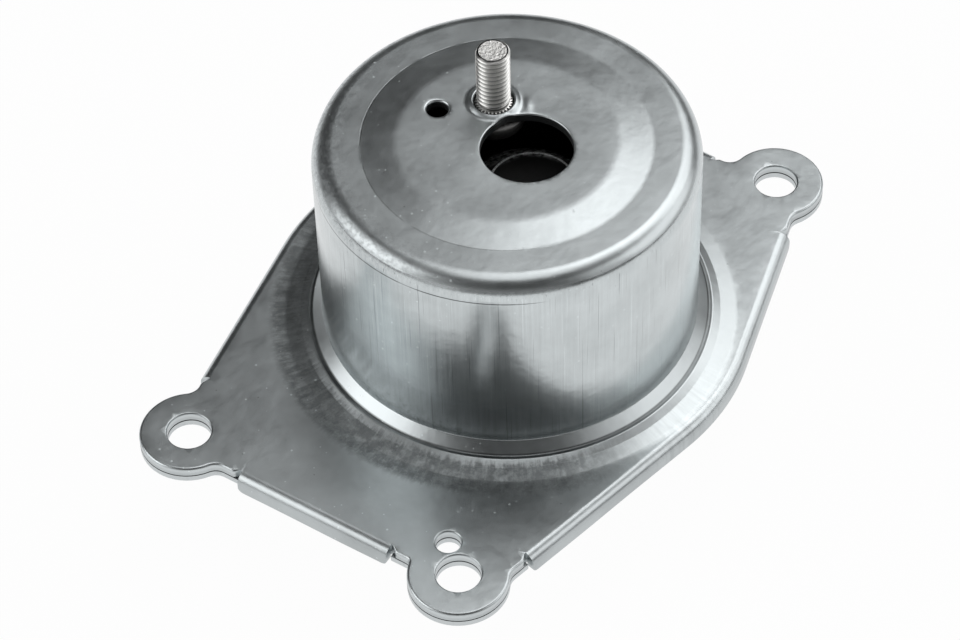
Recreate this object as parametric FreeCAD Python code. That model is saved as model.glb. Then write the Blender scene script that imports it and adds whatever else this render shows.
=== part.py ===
import FreeCAD, Part
import math
import os

# Hydraulic engine mount: a drawn steel can with a three-lugged flange, closed from below by a
# second plate that holds a rubber spring with an aluminium core. Millimetres. The origin is the
# middle of the core's seat, where the mount stands; +Z runs up the can's axis to the threaded
# stud, and -Y is the front. Turned pieces are drawn as (radius, height) outlines.

# Sheet, and the can that is drawn from it
SHEET = 2.3
CAN_RADIUS = 45.0
CAN_HEIGHT = 57.0
CAN_CORNER = 5.0
FLANGE_LEVEL = 27.0
PLATEAU_RADIUS = 25.7
PLATEAU_RISE = 0.9
RING_RADIUS = 33.7
EDGE_ROUND = 0.45

# Foot of the can: a fine ledge, a hollow fillet, a crest and a slope down to the flat flange
LEDGE = 0.15
FOOT_RADIUS = 2.9
FOOT_ANGLE = 74.0
FOOT_LIFT = 4.0
CREST_RISE = 1.75
CREST_OFFSET = 3.6
SLOPE_OFFSET = 9.8

# Flange edges: the way each edge faces, in degrees, and its distance from the can's axis
EDGES = {
    "back": (90.0, 59.4),
    "left": (156.0, 60.3),
    "front_left": (236.2, 77.8),
    "front_right": (313.4, 57.7),
    "right": (340.6, 58.4),
    "back_right": (54.6, 70.7),
}
BACK_CORNER = 14.0
FOLD_DEPTH = 5.2
FOLD_SHEET = 2.1
FOLD_BEND = 2.7
FOLD_STEP = 1.2
FOLD_END_ROUND = 1.4

# Lugs: distance from the can's axis and direction in degrees
LUGS = {
    "left": (84.2, 205.0),
    "front": (81.0, 260.0),
    "right": (77.4, 30.0),
}
# Beside each lug: the edge, how far from the lug's middle its fold stops, and the neck's radius
LUG_SIDES = {
    "left": (("left", 16.5, 3.5), ("front_left", 17.7, 3.5)),
    "front": (("front_left", 17.4, 1.5), ("front_right", 14.7, 3.5)),
    "right": (("right", 16.5, 3.5), ("back_right", 17.6, 3.5)),
}
LUG_RADIUS = 11.75
LUG_HOLE = 10.4
LOCATING_HOLE = 6.0
LOCATING_HOLE_DISTANCE = 72.6
LOCATING_HOLE_ANGLE = 257.1

# Top of the can: vent hole, small locating hole and the stud in its pulled-up boss
VENT_RADIUS = 10.7
VENT_DISTANCE = 5.45
VENT_ANGLE = -34.0
SMALL_HOLE = 5.1
SMALL_HOLE_DISTANCE = 18.8
SMALL_HOLE_ANGLE = 146.4
STUD_DISTANCE = 12.3
STUD_ANGLE = 102.2
STUD_DIAMETER = 8.0
STUD_LENGTH = 16.4
STUD_COLLAR = 4.5
STUD_HEAD_RADIUS = 7.2
STUD_HEAD = 3.4
STUD_CHAMFER = 0.4
BOSS_RISE = 0.8
BOSS_RADIUS = 5.5
BOSS_FOOT = 1.6
BOSS_CLEARANCE = 0.25

# Lower flange plate
PLATE = 1.5
PLATE_GAP = 0.3
PLATE_MARGIN = 0.6
LIP_SETBACK = 0.85
PLATE_LIP = 4.5

# Fits between pieces
SLIDE_FIT = 0.1
SEAT_GAP = 0.2
STACK_FIT = 0.65

# Spring: outer ring, rubber and core
RING_SHEET = 1.3
RING_BEND = 2.6
RING_FLANGE_WIDTH = 7.6
CORE_SEAT_RADIUS = 17.5
CORE_NECK = 6.0
CORE_SHOULDER_RADIUS = 21.5
CORE_SHOULDER = 10.5
CORE_TOP_RADIUS = 12.0
CORE_HEIGHT = 33.0
CORE_EDGE = 1.0
SPRING_MARGIN = 1.5
SPRING_SAG = 3.0
SPRING_LAND = 5.0

# Core thread bush and what closes the filling bore above it
THREAD_BORE = 10.2
BUSH_RADIUS = 8.0
BUSH_LENGTH = 20.0
BUSH_CHAMFER = 0.6
DOWEL_HOLE = 5.0
DOWEL_DEPTH = 7.0
DOWEL_DISTANCE = 12.9
FILL_BORE = 4.0
FILL_BALL = 4.8

# Travel limiter on the core, inside the fluid
LIMIT_RADIUS = 17.0
LIMIT_SHEET = 2.0
LIMIT_RISE = 1.5
LIMIT_BUFFER = 2.4
LIMIT_BUFFER_WIDTH = 5.0
LIMIT_TRAVEL = 3.6
RIVET_RADIUS = 3.0
RIVET_HEAD_RADIUS = 5.0
RIVET_HEAD = 1.6
RIVET_DEPTH = 6.0

# Channel plates, membrane and seal
LOWER_CHANNEL = 4.0
UPPER_CHANNEL = 9.0
TRACK_SETBACK = 8.6
TRACK_WIDTH = 6.0
TRACK_DEPTH = 5.5
TRACK_SWEEP = 300.0
PORT = 5.0
PORT_ANGLE = 6.0
MEMBRANE = 2.4
MEMBRANE_RIM = 3.0
MEMBRANE_BUTTON = 4.0
MEMBRANE_PLAY = 0.3
DISH_SETBACK = 3.0
DISH_WALL = 1.5
GRID = 2.0
WINDOW_RADIUS = 4.0
WINDOW_CIRCLE = 13.0
WINDOWS = 6
PLATE_RIVETS = 3
PLATE_RIVET_SETBACK = 6.5
PLATE_RIVET_RADIUS = 1.6
PLATE_RIVET_HEAD_RADIUS = 2.8
PLATE_RIVET_HEAD = 1.0
SEAL = 2.4

# Diaphragm, its rim ring and the sleeve that holds it down
DIAPHRAGM = 1.8
RIM_WIDTH = 5.0
RIM_HEIGHT = 4.0
RIM_RING = 1.5
ROLL_RISE = 4.0
ROLL_WIDTH = 10.0
CENTRE_RADIUS = 10.2
CENTRE_LEVEL = 46.0
CENTRE_DISTANCE = 6.5
CENTRE_ANGLE = -30.0
CENTRE_THICKNESS = 3.0
SLEEVE = 1.5

# Levels worked out from the sizes above
CAN_TOP = FLANGE_LEVEL + CAN_HEIGHT
PLATEAU_TOP = CAN_TOP + PLATEAU_RISE
PLATE_TOP = FLANGE_LEVEL - SHEET - PLATE_GAP
PLATE_BOTTOM = PLATE_TOP - PLATE
BORE_RADIUS = CAN_RADIUS - SHEET
RING_RADIUS_OUT = BORE_RADIUS - SLIDE_FIT
RING_RADIUS_IN = RING_RADIUS_OUT - RING_SHEET
RING_FOOT = PLATE_TOP + RING_SHEET + RING_BEND
PLATE_OPENING = RING_RADIUS_IN - LIP_SETBACK
RING_TOP = CORE_HEIGHT + LIMIT_SHEET + LIMIT_BUFFER + LIMIT_TRAVEL
LAND_RADIUS = RING_RADIUS_IN - SPRING_LAND
SEAL_RADIUS = LAND_RADIUS + SPRING_LAND / 2
STACK_RADIUS = BORE_RADIUS - STACK_FIT
TRACK_RADIUS = STACK_RADIUS - TRACK_SETBACK
PLATE_RIVET_CIRCLE = TRACK_RADIUS - PLATE_RIVET_SETBACK
DISH_RADIUS = PLATE_RIVET_CIRCLE - DISH_SETBACK
MEMBRANE_RADIUS = DISH_RADIUS - DISH_WALL
SPRING_LOW = CORE_SHOULDER + SPRING_MARGIN
SPRING_HIGH = CORE_HEIGHT - SPRING_MARGIN
CHANNEL_FLOOR = RING_TOP + LOWER_CHANNEL
STACK_TOP = CHANNEL_FLOOR + UPPER_CHANNEL
RIM_TOP = STACK_TOP + RIM_HEIGHT
LIMIT_BEND_RADIUS = CORE_TOP_RADIUS - 0.8
UP = FreeCAD.Vector(0, 0, 1)
ORIGIN = FreeCAD.Vector(0, 0, 0)


def polar(distance, degrees, level=0.0):
    """Point at a distance and direction from the can's axis."""
    turn = math.radians(degrees)
    return FreeCAD.Vector(distance * math.cos(turn), distance * math.sin(turn), level)


def outline_edges(steps):
    """Edges in the XZ plane. A step is a corner, or a point on an arc with the arc's end."""
    points = [FreeCAD.Vector(steps[0][0], 0, steps[0][1])]
    edges = []
    for step in steps[1:]:
        if isinstance(step[0], tuple):
            middle = FreeCAD.Vector(step[0][0], 0, step[0][1])
            end = FreeCAD.Vector(step[1][0], 0, step[1][1])
            edges.append(Part.Arc(points[-1], middle, end).toShape())
        else:
            end = FreeCAD.Vector(step[0], 0, step[1])
            if points[-1].distanceToPoint(end) > 1e-6:
                edges.append(Part.LineSegment(points[-1], end).toShape())
        points.append(end)
    return edges


def outline_face(steps):
    """Closed face in the XZ plane, from its last step back to its first."""
    return Part.Face(Part.Wire(outline_edges(steps + [steps[0]])))


def turned(steps, centre=ORIGIN):
    """Solid turned from a (radius, height) outline about an upright axis through the centre."""
    solid = outline_face(steps).revolve(ORIGIN, UP, 360)
    solid.translate(centre)
    return solid


def disc(radius, low, high, centre=ORIGIN):
    """Upright cylinder between two levels."""
    return Part.makeCylinder(radius, high - low, FreeCAD.Vector(centre.x, centre.y, low), UP)


def washer(inner, outer, low, high):
    """Flat ring between two radii and two levels."""
    return turned([(inner, low), (outer, low), (outer, high), (inner, high)])


def arc_point(centre, radius, degrees):
    """Point of an outline on a circle about (radius, height)."""
    turn = math.radians(degrees)
    return (centre[0] + radius * math.cos(turn), centre[1] + radius * math.sin(turn))


def level_edges(solid, level):
    """Edges of a solid that lie wholly at one level."""
    found = []
    for edge in solid.Edges:
        box = edge.BoundBox
        if abs(box.ZMin - level) < 1e-4 and abs(box.ZMax - level) < 1e-4:
            found.append(edge)
    return found


def upright_edges(solid, near, reach):
    """Straight upright edges of a solid within reach of a point, seen from above."""
    found = []
    for edge in solid.Edges:
        box = edge.BoundBox
        middle = FreeCAD.Vector(box.Center.x, box.Center.y, 0)
        if box.XLength < 1e-4 and box.YLength < 1e-4:
            if middle.distanceToPoint(FreeCAD.Vector(near.x, near.y, 0)) < reach:
                found.append(edge)
    return found


def edge_cutter(name, distance, low, high):
    """Block that lies outside one flange edge."""
    facing, _ = EDGES[name]
    size = 4 * CAN_RADIUS
    block = Part.makeBox(size, 2 * size, high - low, FreeCAD.Vector(distance, -size, low))
    block.rotate(ORIGIN, UP, facing)
    return block


def edge_corner(first, second, inset):
    """Point where two flange edges, moved inwards by the inset, meet."""
    a, da = EDGES[first]
    b, db = EDGES[second]
    a, b = math.radians(a), math.radians(b)
    da, db = da - inset, db - inset
    spread = math.sin(b - a)
    x = (da * math.sin(b) - db * math.sin(a)) / spread
    y = (db * math.cos(a) - da * math.cos(b)) / spread
    return FreeCAD.Vector(x, y, 0)


def flange_block(inset, low, high):
    """Slab between the six flange edges moved inwards, with its plain corners rounded."""
    size = 2 * CAN_RADIUS + LUG_RADIUS
    slab = Part.makeBox(2 * size, 2 * size, high - low, FreeCAD.Vector(-size, -size, low))
    for name, (_, distance) in EDGES.items():
        slab = slab.cut(edge_cutter(name, distance - inset, low, high))
    rounds = (
        ("back", "left", EDGES["left"][1] - inset),
        ("front_right", "right", EDGES["right"][1] - inset),
        ("back_right", "back", BACK_CORNER),
    )
    for first, second, radius in rounds:
        corner = edge_corner(first, second, inset)
        slab = slab.makeFillet(radius, upright_edges(slab, corner, 0.01))
    return slab


def lug_centres():
    """Centre of each lug, by name."""
    return {name: polar(distance, turn) for name, (distance, turn) in LUGS.items()}


def neck_edges(slab, centre, side, inset):
    """Upright edge where a lug's round end meets one straight flange edge."""
    facing, distance = EDGES[side]
    found = []
    for edge in upright_edges(slab, centre, LUG_RADIUS + 0.01):
        point = FreeCAD.Vector(edge.BoundBox.Center.x, edge.BoundBox.Center.y, 0)
        on_round = point.distanceToPoint(centre) > LUG_RADIUS - 0.01
        if on_round and abs(point.dot(polar(1, facing)) - distance + inset) < 0.01:
            found.append(edge)
    return found


def lugged_slab(inset, low, high):
    """Flat blank with its three round lugs and filleted necks."""
    slab = flange_block(inset, low, high)
    for centre in lug_centres().values():
        slab = slab.fuse(disc(LUG_RADIUS, low, high, centre))
    slab = slab.removeSplitter()
    for name, centre in lug_centres().items():
        for side, _, neck in LUG_SIDES[name]:
            slab = slab.makeFillet(neck, neck_edges(slab, centre, side, inset))
    return slab


def flange_holes(low, high):
    """The three lug holes and the small locating hole, as cutters."""
    cutters = [disc(LUG_HOLE / 2, low, high, centre) for centre in lug_centres().values()]
    place = polar(LOCATING_HOLE_DISTANCE, LOCATING_HOLE_ANGLE)
    cutters.append(disc(LOCATING_HOLE / 2, low, high, place))
    return cutters


def relief_section(reach, low, high):
    """Opening in a fold beside a lug, seen square to the edge, with the fold's corners rounded."""
    corner = FOLD_END_ROUND
    right = (reach + corner, low + corner)
    left = (-right[0], right[1])
    return outline_face([
        (-reach, high),
        (-reach, low + corner),
        (arc_point(left, corner, -45), (left[0], low)),
        (left[0], low - corner),
        (right[0], low - corner),
        (right[0], low),
        (arc_point(right, corner, 225), (reach, low + corner)),
        (reach, high),
    ])


def relief_cutters(margin):
    """Prisms beside each lug that end the folds short of it, narrower by a margin."""
    low, high = FLANGE_LEVEL - FOLD_DEPTH, FLANGE_LEVEL + SHEET
    depth = LUG_RADIUS + 2 * SHEET
    cutters = []
    for name, centre in lug_centres().items():
        for side, reach, _ in LUG_SIDES[name]:
            facing, distance = EDGES[side]
            turn = math.radians(facing)
            along = centre.y * math.cos(turn) - centre.x * math.sin(turn)
            prism = relief_section(reach - margin, low, high)
            prism = prism.extrude(FreeCAD.Vector(0, depth, 0))
            prism.translate(FreeCAD.Vector(along, -distance - 2 * SHEET, 0))
            prism.rotate(ORIGIN, UP, facing + 90)
            cutters.append(prism)
    return cutters


def fold_zone(inset, margin, low, high):
    """Strip along the folds outside an inset line, open beside the lugs but for a margin."""
    zone = flange_block(-SHEET, low, high).cut(flange_block(inset, low, high))
    for cutter in relief_cutters(margin):
        zone = zone.cut(cutter)
    return zone


def folded_edges():
    """Turned-down edges of the flange: the rim of a dished tray, opened round the lugs."""
    top = FLANGE_LEVEL
    low = top - FOLD_DEPTH
    tray = flange_block(0.0, low, top)
    for first, second in LUG_SIDES.values():
        corner = edge_corner(first[0], second[0], 0.0)
        tray = tray.makeFillet(LUG_RADIUS, upright_edges(tray, corner, 0.01))
    tray = tray.makeFillet(FOLD_BEND, level_edges(tray, top))
    tray = tray.cut(flange_block(FOLD_SHEET, low, top - SHEET))
    tray = tray.cut(flange_block(2 * FOLD_BEND, low, top))
    for cutter in relief_cutters(0.0):
        tray = tray.cut(cutter)
    return tray


def foot_line():
    """Points of the outer foot, from the wall down to the flat flange."""
    centre = (CAN_RADIUS + LEDGE + FOOT_RADIUS, FLANGE_LEVEL + FOOT_LIFT)
    crease = arc_point(centre, FOOT_RADIUS, 180 + FOOT_ANGLE)
    crest = (CAN_RADIUS + CREST_OFFSET, FLANGE_LEVEL + CREST_RISE)
    slope_end = (CAN_RADIUS + SLOPE_OFFSET, FLANGE_LEVEL)
    return centre, crease, crest, slope_end


def can_section():
    """Section of the drawn can, from the middle of its top to the slope's end on the flange."""
    centre, crease, crest, slope_end = foot_line()
    under = FOOT_RADIUS + LEDGE + SHEET
    top, corner = CAN_TOP, CAN_CORNER
    outer = (CAN_RADIUS - corner, top - corner)
    inner = (BORE_RADIUS - corner + SHEET, top - corner)
    past_crest = (crest[0] + 1.8, crest[1] - 0.3)
    slope_knee = (slope_end[0] - 1.2, FLANGE_LEVEL + 0.12)
    hollow_end = arc_point(centre, under, 180 + FOOT_ANGLE)
    return [
        (0, PLATEAU_TOP),
        (PLATEAU_RADIUS, PLATEAU_TOP),
        (RING_RADIUS, top),
        (outer[0], top),
        (arc_point(outer, corner, 45), (CAN_RADIUS, outer[1])),
        (CAN_RADIUS, centre[1] + LEDGE),
        (CAN_RADIUS + LEDGE, centre[1]),
        (arc_point(centre, FOOT_RADIUS, 180 + FOOT_ANGLE / 2), crease),
        (crest, past_crest),
        slope_knee,
        slope_end,
        (slope_end[0], FLANGE_LEVEL - SHEET),
        (slope_knee[0] - 0.4, FLANGE_LEVEL - SHEET),
        (past_crest[0] - 0.4, past_crest[1] - SHEET - 0.05),
        (crest[0] - 0.6, crest[1] - SHEET - 0.3),
        hollow_end,
        (arc_point(centre, under, 180 + FOOT_ANGLE / 2), (BORE_RADIUS, centre[1])),
        (BORE_RADIUS, inner[1]),
        (arc_point(inner, corner - SHEET, 45), (inner[0], top - SHEET)),
        (RING_RADIUS, top - SHEET),
        (PLATEAU_RADIUS, PLATEAU_TOP - SHEET),
        (0, PLATEAU_TOP - SHEET),
    ]


def boss_steps(base):
    """Mound that the stud stands in: hollow at its foot and rounded at its rim."""
    rise = base + BOSS_RISE
    foot = BOSS_RADIUS + BOSS_FOOT
    middle = (BOSS_RADIUS + BOSS_FOOT * 0.42, base + BOSS_RISE * 0.28)
    return [
        (0, base - EDGE_ROUND),
        (foot, base - EDGE_ROUND),
        (foot, base),
        (middle, (BOSS_RADIUS, rise - BOSS_RISE * 0.3)),
        ((BOSS_RADIUS - 0.25, rise - BOSS_RISE * 0.08), (BOSS_RADIUS - 0.7, rise)),
        (0, rise),
    ]


def vent_centre():
    """Middle of the vent hole in the can's top."""
    return polar(VENT_DISTANCE, VENT_ANGLE)


def stud_centre():
    """Foot of the stud's axis."""
    return polar(STUD_DISTANCE, STUD_ANGLE)


def add_stud_boss(can):
    """Pulls the sheet up round the stud, inside and out."""
    inside = PLATEAU_TOP - SHEET
    recess = turned(boss_steps(inside), stud_centre())
    mound = turned(boss_steps(PLATEAU_TOP), stud_centre())
    hole = disc(STUD_COLLAR + BOSS_CLEARANCE, inside - 1, PLATEAU_TOP + BOSS_RISE + 1, stud_centre())
    return can.fuse(mound).cut(recess).cut(hole)


def add_top_holes(can):
    """Vent hole and small locating hole, with rounded upper rims."""
    low, high = CAN_TOP - 2 * SHEET, PLATEAU_TOP + 2 * BOSS_RISE
    small = polar(SMALL_HOLE_DISTANCE, SMALL_HOLE_ANGLE)
    can = can.cut(disc(SMALL_HOLE / 2, low, high, small))
    rim = []
    for edge in level_edges(can, PLATEAU_TOP):
        centre = FreeCAD.Vector(edge.BoundBox.Center.x, edge.BoundBox.Center.y, 0)
        if centre.distanceToPoint(small) < 0.1 and edge.BoundBox.XLength < 2 * SMALL_HOLE:
            rim.append(edge)
    can = can.makeFillet(EDGE_ROUND, rim)
    return can.cut(disc(VENT_RADIUS, low, high, vent_centre()))


def housing_can():
    """The can, its flange, lugs and turned-down edges: one deep-drawn piece of sheet."""
    top = FLANGE_LEVEL
    low = top - SHEET
    blank = lugged_slab(FOLD_STEP, low, top)
    for cutter in flange_holes(low - 1, top + 1):
        blank = blank.cut(cutter)
    blank = blank.makeFillet(EDGE_ROUND, level_edges(blank, top))
    blank = blank.cut(fold_zone(FOLD_BEND, 0.0, low, top))
    flange = blank.fuse(folded_edges())
    flange = flange.cut(disc(CAN_RADIUS + SLOPE_OFFSET, low - 1, top + 1))
    can = add_top_holes(add_stud_boss(turned(can_section())))
    return flange.fuse(can).removeSplitter()


def lower_flange_plate():
    """Second plate of the flange, inside the folded edges, with a turned-down lip."""
    low, high = PLATE_BOTTOM, PLATE_TOP
    plate = lugged_slab(FOLD_STEP, low, high)
    plate = plate.cut(fold_zone(FOLD_SHEET + PLATE_MARGIN, PLATE_MARGIN, low, high))
    for cutter in flange_holes(low - 1, high + 1):
        plate = plate.cut(cutter)
    inner, bend = PLATE_OPENING, 2 * PLATE
    plate = plate.cut(disc(inner + bend, low - 1, high + 1))
    centre = (inner + bend, high - bend)
    lip_low = high - PLATE_LIP - PLATE
    lip = turned([
        (inner + bend, high),
        (arc_point(centre, bend, 135), (inner, centre[1])),
        (inner, lip_low),
        (inner + PLATE, lip_low),
        (inner + PLATE, centre[1]),
        (arc_point(centre, bend - PLATE, 135), (inner + bend, low)),
    ])
    return plate.fuse(lip).removeSplitter()


def can_stud():
    """Pressed-in stud: head inside the can, collar in the boss, shank to its chamfered tip."""
    radius = STUD_DIAMETER / 2
    head_top = PLATEAU_TOP - SHEET
    collar_top = PLATEAU_TOP + BOSS_RISE
    tip = PLATEAU_TOP + STUD_LENGTH
    return turned([
        (0, head_top - STUD_HEAD),
        (STUD_HEAD_RADIUS - 0.6, head_top - STUD_HEAD),
        (STUD_HEAD_RADIUS, head_top - STUD_HEAD + 0.6),
        (STUD_HEAD_RADIUS, head_top - BOSS_CLEARANCE),
        (STUD_COLLAR, head_top - BOSS_CLEARANCE),
        (STUD_COLLAR, collar_top),
        (radius, collar_top),
        (radius, tip - STUD_CHAMFER),
        (radius - STUD_CHAMFER, tip),
        (0, tip),
    ], stud_centre())


def spring_outer_ring():
    """Steel ring bonded round the rubber: a tube in the can with a flange between the plates."""
    flange = RING_RADIUS_OUT + RING_FLANGE_WIDTH
    low, high = PLATE_TOP, PLATE_TOP + RING_SHEET
    centre = (RING_RADIUS_OUT + RING_BEND, RING_FOOT)
    return turned([
        (centre[0], low),
        (flange, low),
        (flange, high),
        (centre[0], high),
        (arc_point(centre, RING_BEND, 225), (RING_RADIUS_OUT, RING_FOOT)),
        (RING_RADIUS_OUT, RING_TOP),
        (RING_RADIUS_IN, RING_TOP),
        (RING_RADIUS_IN, RING_FOOT),
        (arc_point(centre, RING_BEND + RING_SHEET, 225), (centre[0], low)),
    ])


def core_cone(level):
    """Radius of the core's cone at a level."""
    share = (level - CORE_SHOULDER) / (CORE_HEIGHT - CORE_SHOULDER)
    return CORE_SHOULDER_RADIUS + share * (CORE_TOP_RADIUS - CORE_SHOULDER_RADIUS)


def main_rubber_spring():
    """Rubber cone bonded to the core inside and to the ring outside."""
    foot = (core_cone(SPRING_LOW), SPRING_LOW)
    head = (core_cone(SPRING_HIGH), SPRING_HIGH)
    under = ((RING_RADIUS_IN + foot[0]) / 2, (RING_FOOT + SPRING_LOW) / 2 + SPRING_SAG)
    over = ((LAND_RADIUS + head[0]) / 2 + SPRING_SAG / 2, (RING_TOP + SPRING_HIGH) / 2 - SPRING_SAG)
    return turned([
        foot,
        (under, (RING_RADIUS_IN, RING_FOOT)),
        (RING_RADIUS_IN, RING_TOP),
        (LAND_RADIUS, RING_TOP),
        (over, head),
    ])


def core():
    """Cast aluminium core: seat boss below, shoulder, and the cone bonded in the rubber."""
    body = turned([
        (0, 0),
        (CORE_SEAT_RADIUS - CORE_EDGE, 0),
        (CORE_SEAT_RADIUS, CORE_EDGE),
        (CORE_SEAT_RADIUS, CORE_NECK),
        (CORE_SHOULDER_RADIUS, CORE_SHOULDER - 1.0),
        (CORE_SHOULDER_RADIUS, CORE_SHOULDER),
        (CORE_TOP_RADIUS, CORE_HEIGHT),
        (0, CORE_HEIGHT),
    ])
    body = body.cut(disc(BUSH_RADIUS, -1, BUSH_LENGTH))
    body = body.cut(disc(FILL_BORE / 2, BUSH_LENGTH - 1, CORE_HEIGHT + 1))
    body = body.cut(disc(FILL_BALL / 2, BUSH_LENGTH - 1, BUSH_LENGTH + FILL_BALL))
    body = body.cut(disc(RIVET_RADIUS, CORE_HEIGHT - RIVET_DEPTH, CORE_HEIGHT + 1))
    return body.cut(disc(DOWEL_HOLE / 2, -1, DOWEL_DEPTH, polar(DOWEL_DISTANCE, -90)))


def core_thread_bush():
    """Steel bush cast into the core, tapped for the engine bracket's bolt."""
    bore = THREAD_BORE / 2
    return turned([
        (bore + BUSH_CHAMFER, 0),
        (BUSH_RADIUS, 0),
        (BUSH_RADIUS, BUSH_LENGTH),
        (bore, BUSH_LENGTH),
        (bore, BUSH_CHAMFER),
    ])


def fill_ball():
    """Steel ball pressed into the bore that the fluid was filled through."""
    return Part.makeSphere(FILL_BALL / 2, FreeCAD.Vector(0, 0, BUSH_LENGTH + FILL_BALL / 2))


def travel_limit_plate():
    """Steel disc riveted on the core inside the fluid, with its rim dished upwards."""
    low, high = CORE_HEIGHT, CORE_HEIGHT + LIMIT_SHEET
    return turned([
        (RIVET_RADIUS, low),
        (CORE_TOP_RADIUS, low),
        (LIMIT_RADIUS, low + LIMIT_RISE),
        (LIMIT_RADIUS, high + LIMIT_RISE),
        (LIMIT_BEND_RADIUS, high),
        (RIVET_RADIUS, high),
    ])


def travel_limit_buffer():
    """Rubber ring bonded on the limit plate, which meets the channel plate at full travel."""
    low = CORE_HEIGHT + LIMIT_SHEET
    outer = LIMIT_BEND_RADIUS
    inner = outer - LIMIT_BUFFER_WIDTH
    crown = low + LIMIT_BUFFER
    return turned([
        (inner, low),
        (outer, low),
        (((inner + outer) / 2, crown), (inner, low)),
    ])


def limit_plate_rivet():
    """Hollow rivet through the limit plate into the top of the core, open for the filling."""
    low = CORE_HEIGHT + LIMIT_SHEET
    bore = FILL_BORE / 2
    return turned([
        (bore, CORE_HEIGHT - RIVET_DEPTH),
        (RIVET_RADIUS, CORE_HEIGHT - RIVET_DEPTH),
        (RIVET_RADIUS, low),
        (RIVET_HEAD_RADIUS, low),
        ((RIVET_HEAD_RADIUS * 0.85, low + RIVET_HEAD * 0.7), (bore + 0.6, low + RIVET_HEAD)),
        (bore, low + RIVET_HEAD - 0.6),
    ])


def chamber_seal_ring():
    """Rubber seal between the ring's rim and the lower channel plate."""
    return Part.makeTorus(SEAL_RADIUS, SEAL / 2, FreeCAD.Vector(0, 0, RING_TOP + SEAL / 2), UP)


def windows(low, high):
    """Round windows over and under the membrane, as cutters."""
    step = 360 / WINDOWS
    return [disc(WINDOW_RADIUS, low, high, polar(WINDOW_CIRCLE, number * step))
            for number in range(WINDOWS)]


def plate_rivet_places():
    """Centres of the rivets that join the channel plates."""
    step = 360 / PLATE_RIVETS
    return [polar(PLATE_RIVET_CIRCLE, 90 + number * step) for number in range(PLATE_RIVETS)]


def lower_channel_plate():
    """Floor of the channel, with a seal groove and one port down to the working chamber."""
    low, high = RING_TOP, CHANNEL_FLOOR
    plate = disc(STACK_RADIUS, low, high)
    groove = SEAL / 2 + SLIDE_FIT
    plate = plate.cut(washer(SEAL_RADIUS - groove, SEAL_RADIUS + groove, low - 1, low + SEAL))
    plate = plate.cut(disc(MEMBRANE_RADIUS + MEMBRANE_PLAY, high - MEMBRANE / 2, high + 1))
    for cutter in windows(low - 1, high + 1):
        plate = plate.cut(cutter)
    plate = plate.cut(disc(PORT / 2, low - 1, high + 1, polar(TRACK_RADIUS, PORT_ANGLE)))
    for place in plate_rivet_places():
        plate = plate.cut(disc(PLATE_RIVET_RADIUS, low - 1, high + 1, place))
        plate = plate.cut(disc(PLATE_RIVET_HEAD_RADIUS + SLIDE_FIT, low - 1, low + PLATE_RIVET_HEAD, place))
    return plate


def upper_channel_plate():
    """Cast plate with the long ring channel on its underside and a port up to the diaphragm."""
    low, high = CHANNEL_FLOOR, STACK_TOP
    plate = disc(STACK_RADIUS, low, high)
    half = TRACK_WIDTH / 2
    face = outline_face([
        (TRACK_RADIUS - half, low - 1),
        (TRACK_RADIUS + half, low - 1),
        (TRACK_RADIUS + half, low + TRACK_DEPTH),
        (TRACK_RADIUS - half, low + TRACK_DEPTH),
    ])
    plate = plate.cut(face.revolve(ORIGIN, UP, TRACK_SWEEP))
    plate = plate.cut(disc(MEMBRANE_RADIUS + MEMBRANE_PLAY, low - 1, low + MEMBRANE / 2))
    plate = plate.cut(disc(DISH_RADIUS, low + MEMBRANE / 2 + GRID, high + 1))
    for cutter in windows(low - 1, high + 1):
        plate = plate.cut(cutter)
    plate = plate.cut(disc(PORT / 2, low - 1, high + 1, polar(TRACK_RADIUS, TRACK_SWEEP - PORT_ANGLE)))
    for place in plate_rivet_places():
        plate = plate.cut(disc(PLATE_RIVET_RADIUS, low - 1, high + 1, place))
    return plate


def decoupler_membrane():
    """Loose rubber disc between the channel plates, with a thicker rim and middle."""
    middle = CHANNEL_FLOOR
    half = MEMBRANE / 2 - MEMBRANE_PLAY / 6
    thin = half * 0.6
    radius, button = MEMBRANE_RADIUS, MEMBRANE_BUTTON
    rim = radius - MEMBRANE_RIM
    ramp = half - thin
    return turned([
        (0, middle - half),
        (button - ramp, middle - half),
        (button, middle - thin),
        (rim, middle - thin),
        (rim + ramp, middle - half),
        (radius, middle - half),
        (radius, middle + half),
        (rim + ramp, middle + half),
        (rim, middle + thin),
        (button, middle + thin),
        (button - ramp, middle + half),
        (0, middle + half),
    ])


def channel_plate_rivets():
    """Rivets that hold the two channel plates together."""
    low, high = RING_TOP, STACK_TOP
    rivets = []
    for place in plate_rivet_places():
        rivets.append(turned([
            (0, low + 0.05),
            (PLATE_RIVET_HEAD_RADIUS, low + 0.05),
            (PLATE_RIVET_HEAD_RADIUS, low + PLATE_RIVET_HEAD),
            (PLATE_RIVET_RADIUS, low + PLATE_RIVET_HEAD),
            (PLATE_RIVET_RADIUS, high),
            (PLATE_RIVET_HEAD_RADIUS, high),
            (PLATE_RIVET_HEAD_RADIUS - 0.6, high + PLATE_RIVET_HEAD),
            (0, high + PLATE_RIVET_HEAD),
        ], place))
    return Part.makeCompound(rivets)


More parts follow.
